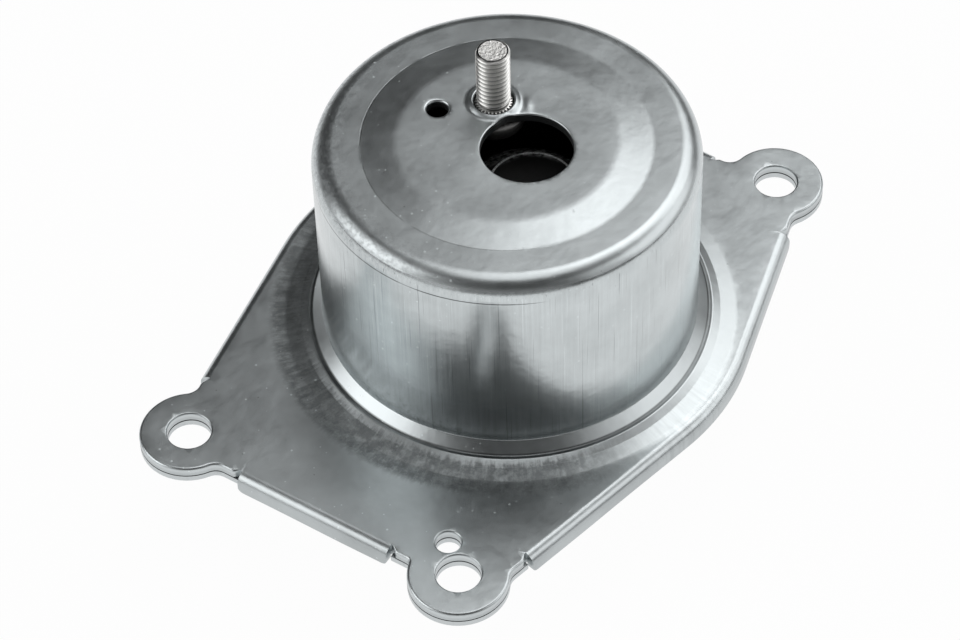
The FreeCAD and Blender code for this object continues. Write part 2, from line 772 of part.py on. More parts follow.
def rolling_diaphragm():
    """Thin rubber diaphragm: clamped rim, one high roll, and an off-centre flat middle."""
    low, high = STACK_TOP, RIM_TOP
    rim = STACK_RADIUS
    neck = rim - RIM_WIDTH
    foot = neck - ROLL_WIDTH
    peak = high + ROLL_RISE
    middle = (neck + foot) / 2
    section = outline_edges([
        (foot, high),
        ((middle + DIAPHRAGM / 3, peak), (neck + DIAPHRAGM, high)),
        (rim, high),
        (rim, low),
        (neck, low),
        (neck, high - DIAPHRAGM),
        ((middle, peak - DIAPHRAGM), (foot, high - DIAPHRAGM)),
    ])
    faces = Part.Wire(section).revolve(ORIGIN, UP, 360).Faces
    centre = polar(CENTRE_DISTANCE, CENTRE_ANGLE)
    level = FLANGE_LEVEL + CENTRE_LEVEL
    for foot_level, head_radius, head_level in (
            (high, CENTRE_RADIUS, level),
            (high - DIAPHRAGM, CENTRE_RADIUS - DIAPHRAGM / 2, level - CENTRE_THICKNESS)):
        ring = Part.makeCircle(foot, FreeCAD.Vector(0, 0, foot_level), UP)
        head = Part.makeCircle(head_radius, FreeCAD.Vector(centre.x, centre.y, head_level), UP)
        faces.append(Part.makeRuledSurface(ring, head))
        faces.append(Part.Face(Part.Wire(head)))
    shell = Part.makeShell(faces)
    shell.sewShape()
    solid = Part.makeSolid(shell)
    if solid.Volume < 0:
        solid.reverse()
    return solid


def diaphragm_rim_ring():
    """Steel ring on the diaphragm's rim, which the sleeve presses down."""
    inner = STACK_RADIUS - RIM_WIDTH + DIAPHRAGM + SEAT_GAP
    return washer(inner, STACK_RADIUS, RIM_TOP, RIM_TOP + RIM_RING)


def spacer_sleeve():
    """Thin sleeve from the rim ring up to the can's top corner."""
    top = CAN_TOP - CAN_CORNER
    outer = BORE_RADIUS - SLIDE_FIT
    return washer(outer - SLEEVE, outer, RIM_TOP + RIM_RING, top)


PIECES = [
    housing_can,
    can_stud,
    lower_flange_plate,
    spring_outer_ring,
    main_rubber_spring,
    core,
    core_thread_bush,
    fill_ball,
    travel_limit_plate,
    travel_limit_buffer,
    limit_plate_rivet,
    chamber_seal_ring,
    lower_channel_plate,
    decoupler_membrane,
    upper_channel_plate,
    channel_plate_rivets,
    rolling_diaphragm,
    diaphragm_rim_ring,
    spacer_sleeve,
]

os.makedirs("parts", exist_ok=True)
for piece in PIECES:
    piece().exportStep("parts/" + piece.__name__ + ".step")
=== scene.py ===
"""The look of a hydraulic engine mount: a drawn and zinc-coated steel can with a lugged flange,
a pressed-in stud, a second flange plate and, underneath, a rubber spring round a cast core.

Lengths are in millimetres until a mesh is made. The frame is the CAD frame: the origin is the
middle of the core's seat, +Z is the can's axis and -Y is the front.
"""

import math

import bmesh
import bpy
import numpy as np
from mathutils import Matrix, Vector
from mathutils.geometry import delaunay_2d_cdt


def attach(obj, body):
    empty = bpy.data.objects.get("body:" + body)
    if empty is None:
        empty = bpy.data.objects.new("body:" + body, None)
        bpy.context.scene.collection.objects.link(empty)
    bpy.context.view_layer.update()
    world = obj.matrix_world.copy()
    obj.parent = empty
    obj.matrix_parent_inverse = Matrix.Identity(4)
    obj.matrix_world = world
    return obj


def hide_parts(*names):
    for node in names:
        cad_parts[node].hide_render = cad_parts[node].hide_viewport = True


MM = 0.001

# Spacing of an arc's points in degrees, and the mesh clean-up's reach in metres
ARC_STEP = 9
MERGE_REACH = 2e-6
FLAT_REACH = 1e-7

# Sheet of the can and flange
SHEET = 2.3
FLANGE_TOP = 27.0
FLANGE_LOW = FLANGE_TOP - SHEET
CAN_RADIUS = 45.0
CAN_CORNER = 5.0
CAN_TOP = 84.0
PLATEAU_RADIUS = 25.7
PLATEAU_TOP = 84.9
RING_RADIUS = 33.7
CENTRE_DISC = 23.4
SLOPE_END = 54.8
EDGE_ROUND = 0.7
HOLE_ROUND = 0.45
TURNS = 288

# Rounding of the plateau's rim and of the ring round it, outside and inside
PLATEAU_ROUND = (16, 10)
RING_ROUND = (9, 4)

# Foot of the can: where its wall ends over the flange, then the corners from there outwards as
# radius, height over the flange and rounding; the hollow inside it by its reach and rise
WALL_END = 4.3
FOOT = (
    (CAN_RADIUS + 0.03, 4.16, 0),
    (CAN_RADIUS + 0.13, 4.04, 0),
    (47.75, 1.66, 1.0),
    (48.60, 1.70, 1.0),
    (50.55, 0.84, 1.6),
    (53.9, 0.12, 3.0),
    (SLOPE_END, 0, 0),
)
HOLLOW_REACH = 3.05
HOLLOW_RISE = 4.0

# Flange edges: the way each faces, in degrees, and its distance from the axis
EDGES = {
    "back": (90.0, 59.4),
    "left": (156.0, 60.3),
    "front_left": (236.2, 77.8),
    "front_right": (313.4, 57.7),
    "right": (340.6, 58.4),
    "back_right": (54.6, 70.7),
}
FOLD_DEPTH = 5.2
FOLD_SHEET = 2.1
FOLD_BEND = 2.7
CUT_INSET = 1.2
FOLD_END_ROUND = 1.4
FOLD_STEP = 2.0
CUT_LEAD = 2.2

# Lugs: distance and direction of the middle, then for each side its edge, reach and neck radius
LUGS = {
    "left": (84.2, 205.0, ("left", 16.5, 3.5), ("front_left", 17.7, 3.5)),
    "front": (81.0, 260.0, ("front_left", 17.4, 1.5), ("front_right", 14.7, 3.5)),
    "right": (77.4, 30.0, ("right", 16.5, 3.5), ("back_right", 17.6, 3.5)),
}
LUG_RADIUS = 11.75
LUG_HOLE_RADIUS = 5.2
LOCATING_HOLE = (72.6, 257.1, 3.0)
FLANGE_HOLE_POINTS = (72, 72, 72, 48)
FLANGE_TEAR = 0.06
FLANGE_REACH = 100
FLANGE_STEP = 3.0
FLANGE_GAP = 1.3

# Folded runs between the lugs: edges in order, and the radius of each corner between them
RUNS = (
    ("right", "left", ("back_right", "back", "left"), (14.0, 59.4)),
    ("left", "front", ("front_left",), ()),
    ("front", "right", ("front_right", "right"), (58.4,)),
)

# Holes in the can's top, and the stud
VENT = (5.45, -34.0, 10.7)
SMALL_HOLE = (18.8, 146.4, 2.55)
STUD = (12.3, 102.2)
TOP_HOLE_POINTS = (144, 64, 96)
TOP_HOLE_ROUND = (0.42, 0.62, 0.40)
TOP_TEAR = 0.05
TOP_STEP = 1.15
FINE_STEP = 0.42
BOSS_HOLE = 4.75
BOSS_RADIUS = 5.5
BOSS_FOOT = 1.6
BOSS_RISE = 0.8
PUCKER = (5.2, 10.7)
PUCKER_TURN = 96
PUCKER_LENGTH = 2.0
PUCKER_WIDTH = 0.85
PUCKER_RISE = 0.18
STUD_RADIUS = 4.0
THREAD_PITCH = 1.25
THREAD_DEPTH = 0.74
STUD_TIP = 101.3
STUD_COLLAR = 4.5
COLLAR_TOP = 85.7
TIP_RADIUS = 3.6
STUD_HEAD_RADIUS = 7.2
STUD_HEAD_LOW = 79.2
STUD_HEAD_TOP = 82.6
THREAD_RUN_OUT = 1.1
TEETH = 30
TOOTH_DEPTH = 0.30
DIAPHRAGM_MIDDLE = (6.5, -30.0)

# Roughness limits: the denoiser treats a surface differently on each side of 0.27, so a finish
# keeps above the first value, and the can's wall keeps below the second
ROUGH_ABOVE = 0.285
ROUGH_BELOW = 0.268
BLACK = (0.0, 0.0, 0.0)
WHITE = (1.0, 1.0, 1.0)

# Studio, in metres
FLOOR_HALF = 6.0
FLOOR_LEVEL = -0.0006
FLOOR_GREY = (0.86, 0.86, 0.86)
FLOOR_GLOW = 0.97
WORLD_LEVEL = 0.04
LAMP_AIM = (0, 0, 0.05)
LAMP_DISTANCE = 1.3

# Lamps: the way each comes from in degrees round and up, its width and height in metres, its level
LAMPS = (
    ("right_lamp", 3, 30, 1.2, 0.9, 1.35),
    ("right_front_lamp", 322, 30, 0.6, 0.8, 0.60),
    ("right_rear_lamp", 50, 48, 0.75, 1.0, 1.60),
    ("top_right_lamp", 30, 66, 0.7, 0.7, 0.25),
    ("top_lamp", 90, 83, 0.70, 0.90, 1.30),
    ("rear_lamp", 76, 55, 0.54, 0.36, 0.72),
    ("left_lamp", 190, 30, 1.1, 1.0, 1.85),
    ("left_front_lamp", 228, 14, 0.6, 0.5, 0.60),
    ("front_low_lamp", 270, 14, 1.5, 0.66, 0.22),
)

# Camera: its sensor and lens, its clipping in metres, its right and up directions, its place
SENSOR_WIDTH = 36.0
LENS = 131.25
CLIP = (0.05, 20.0)
CAMERA_RIGHT = (0.999504, -0.023680, -0.020748)
CAMERA_UP = (0.031483, 0.751770, 0.658673)
CAMERA_PLACE = (-7.393, -557.738, 658.932)


def direction(degrees):
    """Unit vector (cos t, sin t)."""
    return np.array([math.cos(math.radians(degrees)), math.sin(math.radians(degrees))])


def place(distance, degrees):
    """Point at a distance and direction from the can's axis."""
    return distance * direction(degrees)


def along(degrees):
    """Direction of travel, anticlockwise, on an edge that faces the given way."""
    return direction(degrees + 90)


def smooth(value):
    """Smooth step 3t^2 - 2t^3 of a value clamped to 0..1."""
    t = np.clip(value, 0, 1)
    return t * t * (3 - 2 * t)


def arc(centre, radius, start, stop, count):
    """Points centre + radius (cos t, sin t), with t in degrees from start to stop."""
    t = np.radians(np.linspace(start, stop, count))
    return np.stack([centre[0] + radius * np.cos(t), centre[1] + radius * np.sin(t)], 1)


def circle(centre, radius, count):
    """Evenly spaced points centre + radius (cos t, sin t) all the way round."""
    return arc(centre, radius, 0, 360, count + 1)[:-1]


def straight(start, stop, step):
    """Evenly spaced points from start to stop."""
    start, stop = np.asarray(start, float), np.asarray(stop, float)
    count = max(2, int(math.ceil(np.linalg.norm(stop - start) / step)) + 1)
    t = np.linspace(0, 1, count)[:, None]
    return start + t * (stop - start)


def travelled(points):
    """Length along a line of points up to each one."""
    return np.concatenate([[0], np.cumsum(np.linalg.norm(np.diff(points, axis=0), axis=1))])


def resampled(points, stations):
    """Rows of a line at the given lengths along it, by linear interpolation; x and y come first."""
    lengths = travelled(points[:, :2])
    return np.stack([np.interp(stations, lengths, points[:, k]) for k in range(points.shape[1])], 1)


def rounded_line(steps):
    """Line through (x, y, radius) corners, each rounded by an arc of its radius.

    The arc meets both sides at radius * tan(half the turn) from the corner, and its points are
    spaced evenly in angle.
    """
    corners = np.array([step[:2] for step in steps], float)
    line = [corners[:1]]
    for number in range(1, len(corners) - 1):
        corner, radius = corners[number], steps[number][2]
        before = corners[number - 1] - corner
        after = corners[number + 1] - corner
        before, after = before / np.linalg.norm(before), after / np.linalg.norm(after)
        turn = math.pi - math.acos(np.clip(before @ after, -1, 1))
        if radius == 0 or turn < 1e-4:
            line.append(corner[None])
            continue
        reach = radius * math.tan(turn / 2)
        middle = before + after
        centre = corner + middle / np.linalg.norm(middle) * radius / math.cos(turn / 2)
        first, last = corner + before * reach - centre, corner + after * reach - centre
        count = max(3, int(math.degrees(turn) / ARC_STEP) + 2)
        t = np.linspace(0, 1, count)[:, None]
        points = np.sin((1 - t) * turn) * first + np.sin(t * turn) * last
        line.append(centre + points / math.sin(turn))
    line.append(corners[-1:])
    return np.concatenate(line)


class Mesh:
    """Vertices and faces gathered from grids, triangle sets and single polygons."""

    def __init__(self):
        self.points, self.faces, self.count = [], [], 0

    def add(self, points, faces):
        """Adds a set of points, and faces given by the numbers of their points."""
        self.points.append(np.asarray(points, float).reshape(-1, 3))
        self.faces.extend((np.asarray(faces) + self.count).tolist())
        self.count += len(self.points[-1])

    def grid(self, points, around=False):
        """Quads over a grid of points (rows, columns, 3), closed in its columns if around."""
        rows, columns = points.shape[:2]
        number = np.arange(rows * columns).reshape(rows, columns)
        if around:
            number = np.concatenate([number, number[:, :1]], 1)
        quads = np.stack([number[:-1, :-1], number[:-1, 1:], number[1:, 1:], number[1:, :-1]], -1)
        self.add(points, quads.reshape(-1, 4))

    def polygon(self, points):
        """One face round a ring of points."""
        self.add(points, [list(range(len(points)))])

    def piece(self, name, sharp, weighted=True):
        """Object with the gathered surface: doubles merged, faces out, smooth but for sharp edges."""
        mesh = bpy.data.meshes.new(name)
        mesh.from_pydata((np.concatenate(self.points) * MM).tolist(), [], self.faces)
        shape = bmesh.new()
        shape.from_mesh(mesh)
        bmesh.ops.remove_doubles(shape, verts=shape.verts, dist=MERGE_REACH)
        bmesh.ops.dissolve_degenerate(shape, edges=shape.edges, dist=FLAT_REACH)
        bmesh.ops.recalc_face_normals(shape, faces=shape.faces)
        shape.to_mesh(mesh)
        shape.free()
        mesh.shade_smooth()
        mesh.set_sharp_from_angle(angle=math.radians(sharp))
        piece = bpy.data.objects.new(name, mesh)
        bpy.context.collection.objects.link(piece)
        if weighted:
            steady = piece.modifiers.new("even_shading", "WEIGHTED_NORMAL")
            steady.keep_sharp = True
        return piece


def full_turn(count):
    """Evenly spaced angles in radians, once round."""
    return np.linspace(0, 2 * math.pi, count, endpoint=False)


def swept(centre, radius, angle, height):
    """Grid (rows, turns, 3) of points centre + radius (cos t, sin t), each with its height."""
    x = centre[0] + radius * np.cos(angle)
    y = centre[1] + radius * np.sin(angle)
    return np.stack([x, y, np.broadcast_to(height, x.shape)], -1)


def turned(profile, count=TURNS, centre=(0.0, 0.0)):
    """Grid (profile points, turns, 3) of a (radius, height) profile turned about an upright axis."""
    return swept(centre, profile[:, :1], full_turn(count), profile[:, 1:])


def lifted(points, height):
    """Plan points (..., 2) with a height, which may be one number or one for each point."""
    height = np.broadcast_to(height, points.shape[:-1])
    return np.concatenate([points, height[..., None]], -1)


def filled(rings, loose):
    """Triangles over a flat region: its outline, the outlines of its holes, and loose points.

    The triangulation is Delaunay's with the outlines kept as edges. A triangle stays if its middle
    is inside the first outline and outside the others. Returns the points, the triangles, and for
    each point its number in the list that was given.
    """
    points = np.concatenate(rings + [loose])
    edges, start = [], 0
    for ring in rings:
        number = start + np.arange(len(ring))
        edges.append(np.stack([number, np.roll(number, -1)], 1))
        start += len(ring)
    edges = np.concatenate(edges).tolist()
    made = delaunay_2d_cdt([Vector(p) for p in points], edges, [], 0, 1e-7)
    spots = np.array([tuple(v) for v in made[0]])
    triangles = np.array(made[2])
    middles = spots[triangles].mean(1)
    kept = within(middles, rings[0])
    for hole in rings[1:]:
        kept &= ~within(middles, hole)
    origin = np.array([numbers[0] for numbers in made[3]])
    return points[origin], triangles[kept], origin


def lattice(reach, step):
    """Points of a triangular lattice over a square of the given half width."""
    rows = np.arange(-reach, reach, step * math.sqrt(3) / 2)
    columns = np.arange(-reach, reach, step)
    x, y = np.meshgrid(columns, rows)
    x = x + step / 2 * (np.arange(len(rows)) % 2)[:, None]
    return np.stack([x.ravel(), y.ravel()], 1)


def within(points, ring):
    """True for points inside a closed polygon, by counting the sides that a ray crosses."""
    x, y = points[:, :1], points[:, 1:]
    x0, y0 = ring[:, 0], ring[:, 1]
    x1, y1 = np.roll(x0, -1), np.roll(y0, -1)
    spans = (y0 > y) != (y1 > y)
    cross = x0 + (y - y0) * (x1 - x0) / np.where(y1 == y0, 1e-12, y1 - y0)
    return (np.sum(spans & (x < cross), 1) % 2) == 1


def away_from(points, others, gap):
    """True for points farther than the gap from every one of the others."""
    far = np.ones(len(points), bool)
    for part in np.array_split(others, max(1, len(others) // 400)):
        square = ((points[:, None] - part[None]) ** 2).sum(-1)
        far &= square.min(1) > gap * gap
    return far


def hole_rings(holes, grow, counts):
    """Circles round the holes, each (x, y, radius), grown by an amount."""
    rings = []
    for (x, y, radius), count in zip(holes, counts):
        rings.append(circle((x, y), radius + grow, count))
    return rings


def hole_lining(sheet, x, y, radius, count, top, low, rounding, tear):
    """Wall of a punched hole: rounded rim, bright sheared band, then the torn band below it.

    Rows go down a quarter circle of the rounding's radius, then straight to the underside; the
    torn band is wider by the tear.
    """
    turn = np.linspace(0, math.pi / 2, 5)
    out = rounding * (1 - np.sin(turn))
    down = rounding * (1 - np.cos(turn))
    thick = np.min(top) - np.max(low)
    wall = np.array([0.42, 0.52, 0.76, 1.0]) * thick
    out = np.concatenate([out, [0, tear, tear * 0.8, tear * 0.8]])
    rows = np.concatenate([down, wall])
    height = np.broadcast_to(top, (count,)) - rows[:, None]
    height[-1] = np.broadcast_to(low, (count,))
    sheet.grid(swept((x, y), radius + out[:, None], full_turn(count), height), around=True)
    return radius + out[-1]


def boss_height(points):
    """Rise of the pulled-up boss round the stud.

    A smooth step from nothing at the boss's foot to its full rise at its shoulder, with the hollow
    foot drawn out by a power of 1.4, plus a small pucker, a bell curve, beside the vent hole.
    """
    far = np.linalg.norm(points - place(*STUD), axis=-1)
    rise = BOSS_RISE * smooth((BOSS_RADIUS + BOSS_FOOT - 0.2 - far) / (BOSS_FOOT + 0.2)) ** 1.4
    pucker = (points - PUCKER) @ np.stack([direction(PUCKER_TURN), direction(PUCKER_TURN - 90)], 1)
    bell = np.exp(-(pucker[..., 0] / PUCKER_LENGTH) ** 2 - (pucker[..., 1] / PUCKER_WIDTH) ** 2)
    return rise + PUCKER_RISE * bell


def can_profile():
    """Outer line of the can from the centre disc's rim to the slope's end, as (radius, height)."""
    upper = rounded_line([
        (CENTRE_DISC, PLATEAU_TOP, 0),
        (PLATEAU_RADIUS, PLATEAU_TOP, PLATEAU_ROUND[0]),
        (RING_RADIUS, CAN_TOP, RING_ROUND[0]),
        (CAN_RADIUS, CAN_TOP, CAN_CORNER),
        (CAN_RADIUS, FLANGE_TOP + WALL_END, 0),
    ])
    wall = straight(upper[-2], upper[-1], 2.4)
    foot = rounded_line([(radius, FLANGE_TOP + rise, rounding) for radius, rise, rounding in FOOT])
    return np.concatenate([upper[:-2], wall, foot])


def inner_profile():
    """Inner line of the can from the slope's end back up to the centre disc's rim."""
    bore = CAN_RADIUS - SHEET
    middle = (CAN_RADIUS + HOLLOW_REACH, FLANGE_TOP + HOLLOW_RISE)
    hollow = arc(middle, SHEET + HOLLOW_REACH, 254, 180, 12)
    lower = rounded_line([
        (SLOPE_END, FLANGE_LOW, 0),
        (53.0, FLANGE_LOW + 0.05, 4.0),
        (50.1, FLANGE_LOW + 1.3, 4.0),
        (hollow[0, 0], hollow[0, 1], 0),
    ])
    upper = rounded_line([
        (bore, FLANGE_TOP + HOLLOW_RISE, 0),
        (bore, CAN_TOP - SHEET, CAN_CORNER - SHEET),
        (RING_RADIUS, CAN_TOP - SHEET, RING_ROUND[1]),
        (PLATEAU_RADIUS, PLATEAU_TOP - SHEET, PLATEAU_ROUND[1]),
        (CENTRE_DISC, PLATEAU_TOP - SHEET, 0),
    ])
    return np.concatenate([lower[:-1], hollow[:-1], upper])


def corner_centre(first, second, radius):
    """Centre of the arc that rounds two edges: the meeting point of the edges moved inwards."""
    rows = np.array([direction(EDGES[first][0]), direction(EDGES[second][0])])
    return np.linalg.solve(rows, [EDGES[first][1] - radius, EDGES[second][1] - radius])


def lug_middle(name):
    """Middle of a lug in the plan."""
    return place(LUGS[name][0], LUGS[name][1])


def rim_line(start_lug, end_lug, edges, radii):
    """Outermost line of one folded run, with its outward normals: (points, normals).

    Straight runs at each edge's distance, joined by arcs of the given radii.
    """
    points, normals = [], []
    _, start_reach, _ = LUGS[start_lug][3]
    _, end_reach, _ = LUGS[end_lug][2]
    begin = lug_middle(start_lug) @ along(EDGES[edges[0]][0]) + start_reach
    for number, edge in enumerate(edges):
        facing, distance = EDGES[edge]
        if number + 1 < len(edges):
            centre = corner_centre(edge, edges[number + 1], radii[number])
            stop = centre @ along(facing)
        else:
            stop = lug_middle(end_lug) @ along(facing) - end_reach
        line = straight([begin], [stop], 0.5) * along(facing) + distance * direction(facing)
        points.append(line)
        normals.append(np.broadcast_to(direction(facing), line.shape))
        if number + 1 < len(edges):
            following = EDGES[edges[number + 1]][0]
            turn = (following - facing) % 360
            count = int(turn * radii[number] / 30) + 3
            bow = arc((0, 0), 1.0, facing, facing + turn, count)[1:-1]
            points.append(centre + radii[number] * bow)
            normals.append(bow)
            begin = centre @ along(following)
    return np.concatenate(points), np.concatenate(normals)


def run_stations(length):
    """Places along a folded run: close together at its rounded ends, wider apart between them."""
    end = FOLD_END_ROUND * (1 - np.cos(np.linspace(0, math.pi / 2, 7)))
    middle = np.linspace(FOLD_END_ROUND, length - FOLD_END_ROUND, int(length / FOLD_STEP))
    return np.concatenate([end[:-1], middle, length - end[:-1][::-1]])


def lug_line(name):
    """Cut edge round one lug, anticlockwise, from fold to fold: (points, normals, rounding).

    Each side leaves the fold's bend line in an S, runs straight, turns the neck's hollow and
    meets the lug's circle where the line of both centres crosses it. The edge's rounding fades
    out on the S.
    """
    middle = lug_middle(name)
    _, _, before, after = LUGS[name]
    parts, turns = [], []
    for side, (edge, reach, neck) in zip((-1, 1), (before, after)):
        facing, distance = EDGES[edge]
        out, onward = direction(facing), along(facing)
        cut = distance - CUT_INSET
        home = middle @ onward
        offset = cut + neck - middle @ out
        width = LUG_RADIUS + neck
        hub = (home + side * math.sqrt(width ** 2 - offset ** 2)) * onward + (cut + neck) * out
        towards = (hub - middle) / width
        reached = math.degrees(math.atan2(towards[1], towards[0]))
        fold_end = home + side * reach
        neck_start = hub @ onward
        steps = np.linspace(0, 1, 9)[:, None]
        bend = steps * CUT_LEAD
        inset = FOLD_BEND - (FOLD_BEND - CUT_INSET) * smooth(steps)
        entry = (fold_end - side * bend) * onward + (distance - inset) * out
        plain = straight(entry[-1], neck_start * onward + cut * out, 0.6)
        facing_back = facing + 180
        sweep = (reached + 180 - facing_back + 180) % 360 - 180
        hollow = arc(hub, neck, facing_back, facing_back + sweep, 10)
        parts.append(np.concatenate([entry[:-1], plain[:-1], hollow]))
        turns.append(reached)
    span = (turns[1] - turns[0]) % 360
    head = arc(middle, LUG_RADIUS, turns[0], turns[0] + span, int(span / 4))[1:-1]
    line = np.concatenate([parts[0], head, parts[1][::-1]])
    tangent = np.gradient(line, axis=0)
    tangent /= np.linalg.norm(tangent, axis=1)[:, None]
    normals = np.stack([tangent[:, 1], -tangent[:, 0]], 1)
    lengths = travelled(line)
    ends = np.minimum(lengths, lengths[-1] - lengths)
    normals[0] = direction(EDGES[before[0]][0])
    normals[-1] = direction(EDGES[after[0]][0])
    return line, normals, EDGE_ROUND * smooth(ends / CUT_LEAD)


def fold_section():
    """Section of a folded rim as (inset, height), in three lines: bend, foot and inner side."""
    bend = arc((FOLD_BEND, FLANGE_TOP - FOLD_BEND), FOLD_BEND, 90, 180, 11)
    low = FLANGE_TOP - FOLD_DEPTH
    foot = rounded_line([
        (0.0, low + FOLD_END_ROUND + 0.5, 0),
        (0.0, low, 0.35),
        (FOLD_SHEET, low, 0.25),
        (FOLD_SHEET, low + FOLD_END_ROUND + 0.5, 0),
    ])
    inner = np.array([[FOLD_SHEET, FLANGE_LOW], [FOLD_BEND, FLANGE_LOW]])
    return bend, foot, inner


def folded_run(sheet, run):
    """One turned-down rim. Returns its grid, whose rows go from start to stop.

    The section (inset, height) is carried along the rim: point = rim - inset * normal. At a
    distance s from an end, less than r, the foot rises by r - sqrt(r^2 - (r - s)^2).
    """
    points, normals = rim_line(*run)
    stations = run_stations(travelled(points)[-1])
    both = resampled(np.concatenate([points, normals], 1), stations)
    spot, normal = both[:, :2], both[:, 2:]
    normal = normal / np.linalg.norm(normal, axis=1)[:, None]
    bend, foot, inner = fold_section()
    section = np.concatenate([bend, foot, inner])
    is_foot = np.zeros(len(section), bool)
    is_foot[len(bend):len(bend) + len(foot)] = True
    ends = np.minimum(stations, stations[-1] - stations)
    short = np.clip(FOLD_END_ROUND - ends, 0, None)
    rise = FOLD_END_ROUND - np.sqrt(FOLD_END_ROUND ** 2 - short ** 2)
    low, high = FLANGE_TOP - FOLD_DEPTH, FLANGE_TOP - FOLD_DEPTH + FOLD_END_ROUND + 0.5
    height = np.broadcast_to(section[:, 1], (len(spot), len(section))).copy()
    share = (high - section[:, 1]) / (high - low)
    height += np.where(is_foot, share, 0) * rise[:, None] * (high - low - 0.02) / (high - low)
    plan = spot[:, None] - section[:, 0][None, :, None] * normal[:, None]
    wobble = 0.10 * np.sin(stations / 7.0 + len(spot)) * np.sin(stations / 17.0)
    height = height + np.where(is_foot & (share > 0.5), 1, 0) * (wobble * smooth(ends / 6))[:, None]
    grid = lifted(plan, height)
    sheet.grid(grid)
    return grid


def cut_run(sheet, name):
    """Cut edge round one lug: rounded upper edge, sheared band and torn band.

    Returns the wall's grid; its first row lies on the flange's top and its last on the underside.
    """
    line, normals, rounding = lug_line(name)
    turn = np.linspace(0, math.pi / 2, 6)
    out = np.concatenate([-(1 - np.sin(turn)), np.zeros(4)])
    down = np.concatenate([1 - np.cos(turn), np.ones(4)])
    depth = np.concatenate([np.zeros(6), np.array([0.30, 0.40, 0.72, 1.0]) * (SHEET - EDGE_ROUND)])
    tear = np.concatenate([np.zeros(6), [0.0, -0.07, -0.05, -0.03]])
    full = (rounding / EDGE_ROUND)[:, None]
    lengths = travelled(line)
    ragged = 0.16 * np.sin(lengths / 1.9) * np.sin(lengths / 5.3 + 1) + 0.10 * np.sin(lengths / 0.9)
    is_band = np.zeros(10)
    is_band[6:8] = 1
    offset = out * rounding[:, None] + tear * full
    height = FLANGE_TOP - down * rounding[:, None]
    height = height - depth * (SHEET - rounding[:, None]) / (SHEET - EDGE_ROUND)
    height = height + is_band * (ragged[:, None] * full)
    plan = line[:, None] + offset[..., None] * normals[:, None]
    grid = lifted(plan, height)
    sheet.grid(grid)
    return grid


def flange_holes():
    """Lug holes and the locating hole as (x, y, radius)."""
    holes = [tuple(lug_middle(name)) + (LUG_HOLE_RADIUS,) for name in LUGS]
    holes.append(tuple(place(*LOCATING_HOLE[:2])) + (LOCATING_HOLE[2],))
    return holes


def sheet_flange(sheet):
    """Flat flange with its holes, rims and cut edges, from the can's slope outwards."""
    folds = {run[0]: folded_run(sheet, run) for run in RUNS}
    cuts = {name: cut_run(sheet, name) for name in LUGS}
    upper, lower = [], []
    for start, end, _, _ in RUNS:
        fold, cut = folds[start], cuts[end]
        upper += [fold[:, 0], cut[1:-1, 0]]
        lower += [fold[:, -1], cut[1:-1, -1]]
    for start, end, _, _ in RUNS:
        head, tail = folds[start][0], folds[start][-1]
        sheet.polygon(np.concatenate([head, cuts[start][-1][::-1][1:-1]]))
        sheet.polygon(np.concatenate([tail, cuts[end][0][::-1][1:-1]]))
    upper, lower = np.concatenate(upper)[:, :2], np.concatenate(lower)[:, :2]
    holes = flange_holes()
    counts = FLANGE_HOLE_POINTS
    top_rings = hole_rings(holes, HOLE_ROUND, counts)
    low_rings = []
    for (x, y, radius), count in zip(holes, counts):
        reach = hole_lining(
            sheet, x, y, radius, count, FLANGE_TOP, FLANGE_LOW, HOLE_ROUND, FLANGE_TEAR)
        low_rings.append(circle((x, y), reach, count))
    foot = circle((0, 0), SLOPE_END, TURNS)
    rings = [upper, foot] + top_rings
    loose = lattice(FLANGE_REACH, FLANGE_STEP)
    keep = within(loose, upper) & (np.linalg.norm(loose, axis=1) > SLOPE_END)
    for x, y, radius in holes:
        keep &= np.hypot(loose[:, 0] - x, loose[:, 1] - y) > radius
    keep &= away_from(loose, np.concatenate(rings), FLANGE_GAP)
    points, triangles, origin = filled(rings, loose[keep])
    sheet.add(lifted(points, FLANGE_TOP), triangles)
    under = np.concatenate([lower, foot] + low_rings + [loose[keep]])[origin]
    sheet.add(lifted(under, FLANGE_LOW), triangles[:, ::-1])


